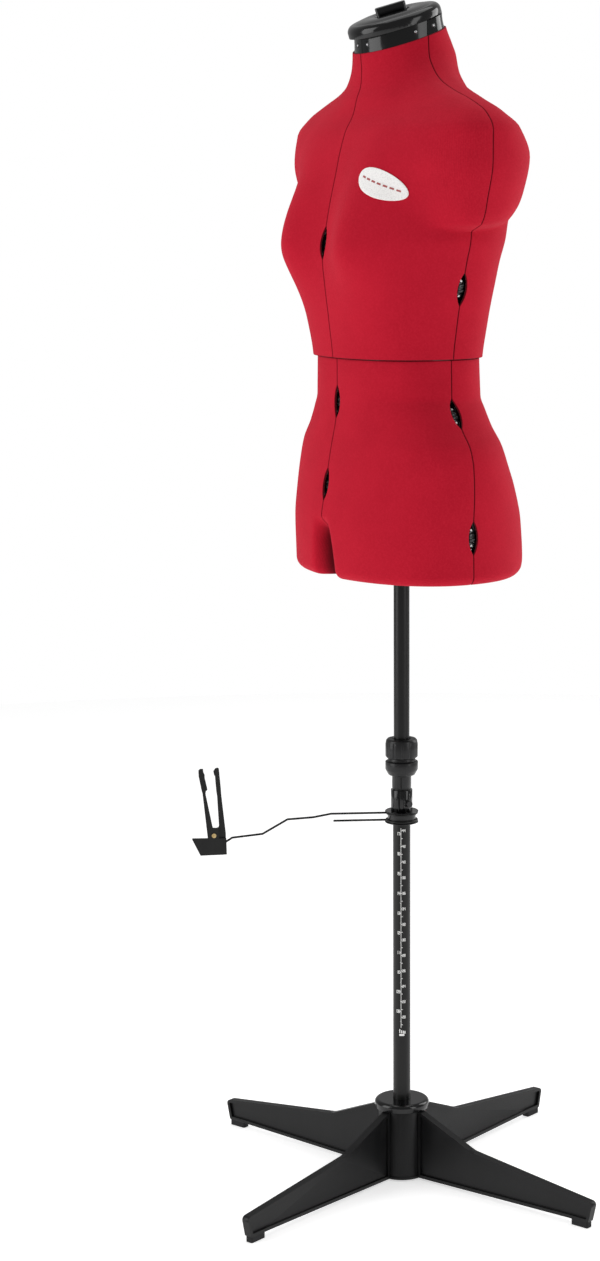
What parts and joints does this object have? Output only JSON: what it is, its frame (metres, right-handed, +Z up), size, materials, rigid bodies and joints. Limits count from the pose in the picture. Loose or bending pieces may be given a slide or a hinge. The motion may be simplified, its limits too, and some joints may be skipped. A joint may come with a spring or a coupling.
{
  "type": "adjustable dress form",
  "caption": "Adjustable fabric-covered female torso with thumb-wheel seams, on a telescopic pole with a skirt hem marker and a four-legged base.",
  "frame": {"origin": "centre of the pole on the floor", "axes": "+Z up the pole, the torso's front faces -Y and its left side is +X"},
  "size_m": [0.5628, 0.5628, 1.4544],
  "materials": {
    "stand_black": "satin",
    "gloss_black": "gloss",
    "inner_plastic": "satin",
    "wheel_black": "satin",
    "rubber_pad": "matte",
    "zinc": "satin",
    "pole_black": "satin",
    "clamp_collet": "satin",
    "wire": "satin",
    "marker_plate": "satin",
    "brass": "satin",
    "red_knit": "soft"
  },
  "bodies": {
    "base": {"base_hub": "stand_black", "base_leg_1": "stand_black", "base_leg_2": "stand_black", "base_leg_3": "stand_black", "base_leg_4": "stand_black", "foot_pads": "rubber_pad", "hub_cap": "gloss_black", "hub_bolt": "zinc", "lower_pole": "pole_black", "clamp_body": "stand_black", "clamp_collet": "clamp_collet"},
    "clamp_nut": {"clamp_nut": "stand_black"},
    "marker_sleeve": {"marker_sleeve": "gloss_black"},
    "marker_screw": {"marker_screw": "gloss_black"},
    "marker_arm": {"marker_spool": "gloss_black", "marker_wires": "wire", "marker_plate": "marker_plate", "marker_rivet": "brass"},
    "marker_prong": {"marker_prong": "marker_plate"},
    "upper_pole": {"upper_pole": "pole_black"},
    "hip_frame": {"hip_frame": "inner_plastic"},
    "bust_frame": {"bust_frame": "inner_plastic"},
    "neck_cap": {"neck_cap": "gloss_black"},
    "neck_knob": {"neck_knob": "gloss_black"},
    "carriage_lower_left": {"carriage_lower_left": "inner_plastic"},
    "carriage_lower_back": {"carriage_lower_back": "inner_plastic"},
    "carriage_lower_right": {"carriage_lower_right": "inner_plastic"},
    "carriage_lower_front": {"carriage_lower_front": "inner_plastic"},
    "panel_lower_front_left": {"shell_lower_front_left": "gloss_black", "cover_lower_front_left": "red_knit"},
    "panel_lower_front_right": {"shell_lower_front_right": "gloss_black", "cover_lower_front_right": "red_knit"},
    "panel_lower_back_left": {"shell_lower_back_left": "gloss_black", "cover_lower_back_left": "red_knit"},
    "panel_lower_back_right": {"shell_lower_back_right": "gloss_black", "cover_lower_back_right": "red_knit"},
    "carriage_upper_left": {"carriage_upper_left": "inner_plastic"},
    "carriage_upper_back": {"carriage_upper_back": "inner_plastic"},
    "carriage_upper_right": {"carriage_upper_right": "inner_plastic"},
    "carriage_upper_front": {"carriage_upper_front": "inner_plastic"},
    "panel_upper_front_left": {"shell_upper_front_left": "gloss_black", "cover_upper_front_left": "red_knit"},
    "panel_upper_front_right": {"shell_upper_front_right": "gloss_black", "cover_upper_front_right": "red_knit"},
    "panel_upper_back_left": {"shell_upper_back_left": "gloss_black", "cover_upper_back_left": "red_knit"},
    "panel_upper_back_right": {"shell_upper_back_right": "gloss_black", "cover_upper_back_right": "red_knit"},
    "wheel_front_bust": {"wheel_front_bust": "wheel_black"},
    "wheel_back_bust": {"wheel_back_bust": "wheel_black"},
    "wheel_left_bust": {"wheel_left_bust": "wheel_black"},
    "wheel_right_bust": {"wheel_right_bust": "wheel_black"},
    "wheel_front_waist": {"wheel_front_waist": "wheel_black"},
    "wheel_back_waist": {"wheel_back_waist": "wheel_black"},
    "wheel_left_waist": {"wheel_left_waist": "wheel_black"},
    "wheel_right_waist": {"wheel_right_waist": "wheel_black"},
    "wheel_front_hip": {"wheel_front_hip": "wheel_black"},
    "wheel_back_hip": {"wheel_back_hip": "wheel_black"},
    "wheel_left_hip": {"wheel_left_hip": "wheel_black"},
    "wheel_right_hip": {"wheel_right_hip": "wheel_black"}
  },
  "joints": [
    {"name": "height", "type": "slide", "parent": "base", "child": "upper_pole", "axis": [0, 0, 1], "range_m": [-0.19, 0.15]},
    {"name": "clamp_turn", "type": "hinge", "parent": "base", "child": "clamp_nut", "pos_m": [0, 0, 0.552], "axis": [0, 0, 1], "range_deg": [0, 270]},
    {"name": "marker_slide", "type": "slide", "parent": "base", "child": "marker_sleeve", "axis": [0, 0, 1], "range_m": [-0.29, 0]},
    {"name": "marker_screw_turn", "type": "hinge", "parent": "marker_sleeve", "child": "marker_screw", "pos_m": [0.02, 0, 0.4837], "axis": [1, 0, 0], "range_deg": [0, 180]},
    {"name": "marker_turn", "type": "hinge", "parent": "marker_sleeve", "child": "marker_arm", "pos_m": [0, 0, 0.463], "axis": [0, 0, 1], "continuous": true},
    {"name": "prong_open", "type": "hinge", "parent": "marker_arm", "child": "marker_prong", "pos_m": [-0.10723, -0.20686, 0.4452], "axis": [-0.8878, 0.4602, 0], "range_deg": [0, 22]},
    {"name": "torso_turn", "type": "hinge", "parent": "upper_pole", "child": "hip_frame", "pos_m": [0, 0, 0.8], "axis": [0, 0, 1], "continuous": true},
    {"name": "torso_length", "type": "slide", "parent": "hip_frame", "child": "bust_frame", "axis": [0, 0, 1], "range_m": [0, 0.04]},
    {"name": "neck_cap_lift", "type": "slide", "parent": "bust_frame", "child": "neck_cap", "axis": [0, 0, 1], "range_m": [0, 0.00648]},
    {"name": "neck_knob_turn", "type": "hinge", "parent": "neck_cap", "child": "neck_knob", "pos_m": [0, -0.008, 1.42474], "axis": [0, -0.3256, 0.9455], "range_deg": [0, 180]},
    {"name": "width", "type": "slide", "parent": "hip_frame", "child": "carriage_lower_left", "axis": [1, 0, 0], "range_m": [0, 0.018]},
    {"name": "carriage_lower_right_slide", "type": "slide", "parent": "hip_frame", "child": "carriage_lower_right", "axis": [-1, 0, 0], "range_m": [0, 0.018]},
    {"name": "carriage_upper_left_slide", "type": "slide", "parent": "bust_frame", "child": "carriage_upper_left", "axis": [1, 0, 0], "range_m": [0, 0.018]},
    {"name": "carriage_upper_right_slide", "type": "slide", "parent": "bust_frame", "child": "carriage_upper_right", "axis": [-1, 0, 0], "range_m": [0, 0.018]},
    {"name": "depth", "type": "slide", "parent": "hip_frame", "child": "carriage_lower_front", "axis": [0, -1, 0], "range_m": [0, 0.018]},
    {"name": "carriage_lower_back_slide", "type": "slide", "parent": "hip_frame", "child": "carriage_lower_back", "axis": [0, 1, 0], "range_m": [0, 0.018]},
    {"name": "carriage_upper_front_slide", "type": "slide", "parent": "bust_frame", "child": "carriage_upper_front", "axis": [0, -1, 0], "range_m": [0, 0.018]},
    {"name": "carriage_upper_back_slide", "type": "slide", "parent": "bust_frame", "child": "carriage_upper_back", "axis": [0, 1, 0], "range_m": [0, 0.018]},
    {"name": "panel_lower_front_left_slide", "type": "slide", "parent": "carriage_lower_front", "child": "panel_lower_front_left", "axis": [1, 0, 0], "range_m": [0, 0.018]},
    {"name": "panel_lower_front_right_slide", "type": "slide", "parent": "carriage_lower_front", "child": "panel_lower_front_right", "axis": [-1, 0, 0], "range_m": [0, 0.018]},
    {"name": "panel_lower_back_left_slide", "type": "slide", "parent": "carriage_lower_back", "child": "panel_lower_back_left", "axis": [1, 0, 0], "range_m": [0, 0.018]},
    {"name": "panel_lower_back_right_slide", "type": "slide", "parent": "carriage_lower_back", "child": "panel_lower_back_right", "axis": [-1, 0, 0], "range_m": [0, 0.018]},
    {"name": "panel_upper_front_left_slide", "type": "slide", "parent": "carriage_upper_front", "child": "panel_upper_front_left", "axis": [1, 0, 0], "range_m": [0, 0.018]},
    {"name": "panel_upper_front_right_slide", "type": "slide", "parent": "carriage_upper_front", "child": "panel_upper_front_right", "axis": [-1, 0, 0], "range_m": [0, 0.018]},
    {"name": "panel_upper_back_left_slide", "type": "slide", "parent": "carriage_upper_back", "child": "panel_upper_back_left", "axis": [1, 0, 0], "range_m": [0, 0.018]},
    {"name": "panel_upper_back_right_slide", "type": "slide", "parent": "carriage_upper_back", "child": "panel_upper_back_right", "axis": [-1, 0, 0], "range_m": [0, 0.018]},
    {"name": "wheel_front_bust_turn", "type": "hinge", "parent": "carriage_upper_front", "child": "wheel_front_bust", "pos_m": [0, -0.08706, 1.16742], "axis": [-1, 0, 0], "range_deg": [0, 660]},
    {"name": "wheel_back_bust_turn", "type": "hinge", "parent": "carriage_upper_back", "child": "wheel_back_bust", "pos_m": [0, 0.07949, 1.17528], "axis": [1, 0, 0], "range_deg": [0, 660]},
    {"name": "wheel_left_bust_turn", "type": "hinge", "parent": "carriage_upper_left", "child": "wheel_left_bust", "pos_m": [0.11223, 0, 1.12372], "axis": [0, -1, 0], "range_deg": [0, 660]},
    {"name": "wheel_right_bust_turn", "type": "hinge", "parent": "carriage_upper_right", "child": "wheel_right_bust", "pos_m": [-0.11223, 0, 1.12372], "axis": [0, 1, 0], "range_deg": [0, 660]},
    {"name": "wheel_front_waist_turn", "type": "hinge", "parent": "carriage_lower_front", "child": "wheel_front_waist", "pos_m": [0, -0.06961, 0.98336], "axis": [-1, 0, 0], "range_deg": [0, 660]},
    {"name": "wheel_back_waist_turn", "type": "hinge", "parent": "carriage_lower_back", "child": "wheel_back_waist", "pos_m": [0, 0.05924, 0.97986], "axis": [1, 0, 0], "range_deg": [0, 660]},
    {"name": "wheel_left_waist_turn", "type": "hinge", "parent": "carriage_lower_left", "child": "wheel_left_waist", "pos_m": [0.10248, 0, 0.96178], "axis": [0, -1, 0], "range_deg": [0, 660]},
    {"name": "wheel_right_waist_turn", "type": "hinge", "parent": "carriage_lower_right", "child": "wheel_right_waist", "pos_m": [-0.10248, 0, 0.96178], "axis": [0, 1, 0], "range_deg": [0, 660]},
    {"name": "wheel_front_hip_turn", "type": "hinge", "parent": "carriage_lower_front", "child": "wheel_front_hip", "pos_m": [0, -0.08632, 0.88267], "axis": [-1, 0, 0], "range_deg": [0, 660]},
    {"name": "wheel_back_hip_turn", "type": "hinge", "parent": "carriage_lower_back", "child": "wheel_back_hip", "pos_m": [0, 0.09825, 0.87796], "axis": [1, 0, 0], "range_deg": [0, 660]},
    {"name": "wheel_left_hip_turn", "type": "hinge", "parent": "carriage_lower_left", "child": "wheel_left_hip", "pos_m": [0.13706, 0, 0.8297], "axis": [0, -1, 0], "range_deg": [0, 660]},
    {"name": "wheel_right_hip_turn", "type": "hinge", "parent": "carriage_lower_right", "child": "wheel_right_hip", "pos_m": [-0.13706, 0, 0.8297], "axis": [0, 1, 0], "range_deg": [0, 660]}
  ],
  "couplings": [
    {"joint": "neck_cap_lift", "follows": "depth", "ratio": 0.36},
    {"joint": "carriage_lower_right_slide", "follows": "width", "ratio": 1},
    {"joint": "carriage_upper_left_slide", "follows": "width", "ratio": 1},
    {"joint": "carriage_upper_right_slide", "follows": "width", "ratio": 1},
    {"joint": "carriage_lower_back_slide", "follows": "depth", "ratio": 1},
    {"joint": "carriage_upper_front_slide", "follows": "depth", "ratio": 1},
    {"joint": "carriage_upper_back_slide", "follows": "depth", "ratio": 1},
    {"joint": "panel_lower_front_left_slide", "follows": "width", "ratio": 1},
    {"joint": "panel_lower_front_right_slide", "follows": "width", "ratio": 1},
    {"joint": "panel_lower_back_left_slide", "follows": "width", "ratio": 1},
    {"joint": "panel_lower_back_right_slide", "follows": "width", "ratio": 1},
    {"joint": "panel_upper_front_left_slide", "follows": "width", "ratio": 1},
    {"joint": "panel_upper_front_right_slide", "follows": "width", "ratio": 1},
    {"joint": "panel_upper_back_left_slide", "follows": "width", "ratio": 1},
    {"joint": "panel_upper_back_right_slide", "follows": "width", "ratio": 1},
    {"joint": "wheel_front_bust_turn", "follows": "width", "rad_per_m": 628.32},
    {"joint": "wheel_back_bust_turn", "follows": "width", "rad_per_m": 628.32},
    {"joint": "wheel_left_bust_turn", "follows": "depth", "rad_per_m": 628.32},
    {"joint": "wheel_right_bust_turn", "follows": "depth", "rad_per_m": 628.32},
    {"joint": "wheel_front_waist_turn", "follows": "width", "rad_per_m": 628.32},
    {"joint": "wheel_back_waist_turn", "follows": "width", "rad_per_m": 628.32},
    {"joint": "wheel_left_waist_turn", "follows": "depth", "rad_per_m": 628.32},
    {"joint": "wheel_right_waist_turn", "follows": "depth", "rad_per_m": 628.32},
    {"joint": "wheel_front_hip_turn", "follows": "width", "rad_per_m": 628.32},
    {"joint": "wheel_back_hip_turn", "follows": "width", "rad_per_m": 628.32},
    {"joint": "wheel_left_hip_turn", "follows": "depth", "rad_per_m": 628.32},
    {"joint": "wheel_right_hip_turn", "follows": "depth", "rad_per_m": 628.32}
  ]
}
